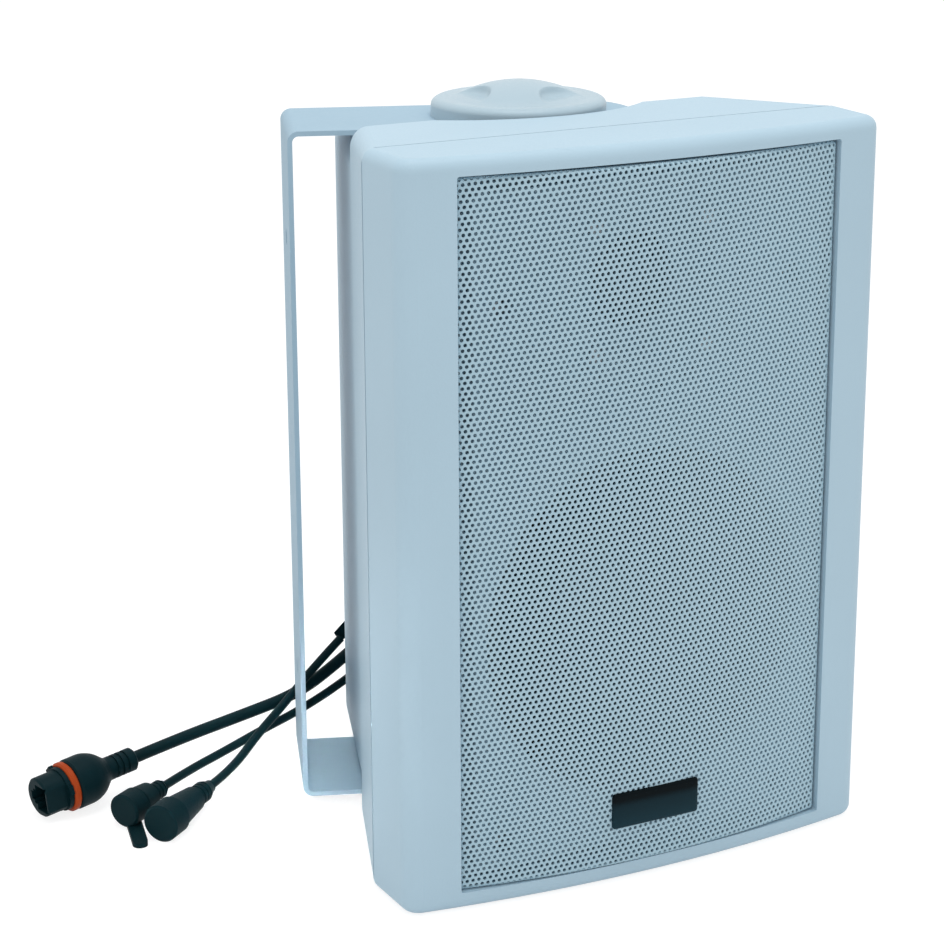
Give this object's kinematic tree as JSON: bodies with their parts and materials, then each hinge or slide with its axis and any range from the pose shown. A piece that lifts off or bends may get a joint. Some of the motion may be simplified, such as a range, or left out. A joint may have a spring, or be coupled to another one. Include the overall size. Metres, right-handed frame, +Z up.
{
  "type": "cabinet speaker",
  "caption": "Wall-mounting white cabinet speaker with a bowed perforated grille, a swivelling U bracket held by a large top knob, and short cords with sealed connectors.",
  "frame": {"origin": "on the floor, in the middle of the face that the cabinet stands on", "axes": "+Z up, the bowed grille faces -Y, +X to the right as seen from the front"},
  "size_m": [0.3129, 0.2085, 0.3077],
  "materials": {
    "cabinet_plastic": "fine-textured moulded",
    "seal_rubber": "matt",
    "grille_paint": "satin",
    "badge_gloss": "glossy domed",
    "insert_brass": "turned",
    "washer_plastic": "smooth",
    "bracket_paint": "satin",
    "knob_plastic": "smooth moulded",
    "plated_steel": "zinc plated",
    "basket_paint": "satin",
    "magnet_ferrite": "matt sintered",
    "coil_metal": "wound",
    "cone_polypropylene": "matt moulded",
    "surround_rubber": "matt",
    "spider_cloth": "stiffened",
    "tweeter_plastic": "fine-textured moulded",
    "dome_film": "coated",
    "black_screw": "black oxide",
    "board_laminate": "lacquered",
    "sink_aluminium": "extruded",
    "black_rubber": "matt",
    "cord_jacket": "smooth",
    "connector_plastic": "moulded",
    "orange_rubber": "smooth"
  },
  "bodies": {
    "cabinet": {"front_frame": "cabinet_plastic", "rear_shell": "cabinet_plastic", "shell_seal": "seal_rubber", "grille": "grille_paint", "badge_plate": "badge_gloss", "top_insert": "insert_brass", "bottom_insert": "insert_brass", "top_washer": "washer_plastic", "bottom_washer": "washer_plastic", "lower_pivot_screw": "plated_steel", "woofer_basket": "basket_paint", "woofer_top_plate": "plated_steel", "woofer_magnet": "magnet_ferrite", "woofer_yoke": "plated_steel", "woofer_surround": "surround_rubber", "woofer_spider": "spider_cloth", "tweeter_faceplate": "tweeter_plastic", "tweeter_dome": "dome_film", "tweeter_magnet": "magnet_ferrite", "shell_screws": "plated_steel", "woofer_screws": "black_screw", "tweeter_screws": "plated_steel", "amplifier_board": "board_laminate", "board_screws": "black_screw", "heat_sink": "sink_aluminium", "cord_boot": "black_rubber", "ethernet_cord": "cord_jacket", "left_jack_cord": "cord_jacket", "right_jack_cord": "cord_jacket", "network_socket": "connector_plastic", "socket_ring": "orange_rubber", "left_jack": "connector_plastic", "left_jack_cap": "black_rubber", "right_jack": "connector_plastic", "right_jack_cap": "black_rubber"},
    "bracket": {"wall_bracket": "bracket_paint"},
    "knob": {"top_knob": "knob_plastic", "knob_stud": "plated_steel"},
    "cone": {"woofer_cone": "cone_polypropylene", "dust_cap": "cone_polypropylene", "voice_coil": "coil_metal"}
  },
  "joints": [
    {"name": "bracket_swivel", "type": "hinge", "parent": "cabinet", "child": "bracket", "pos_m": [0, 0.067, 0.15], "axis": [0, 0, 1], "range_deg": [-144.5, 5.5], "deforming": ["ethernet_cord", "left_jack_cord", "right_jack_cord"]},
    {"name": "top_knob_turn", "type": "hinge", "parent": "cabinet", "child": "knob", "pos_m": [0, 0.067, 0.293], "axis": [0, 0, 1], "range_deg": [0, 360]},
    {"name": "cone_travel", "type": "slide", "parent": "cabinet", "child": "cone", "axis": [0, 1, 0], "range_m": [-0.004, 0.004], "stiffness_N_per_m": 1200, "deforming": ["woofer_surround", "woofer_spider"]}
  ]
}
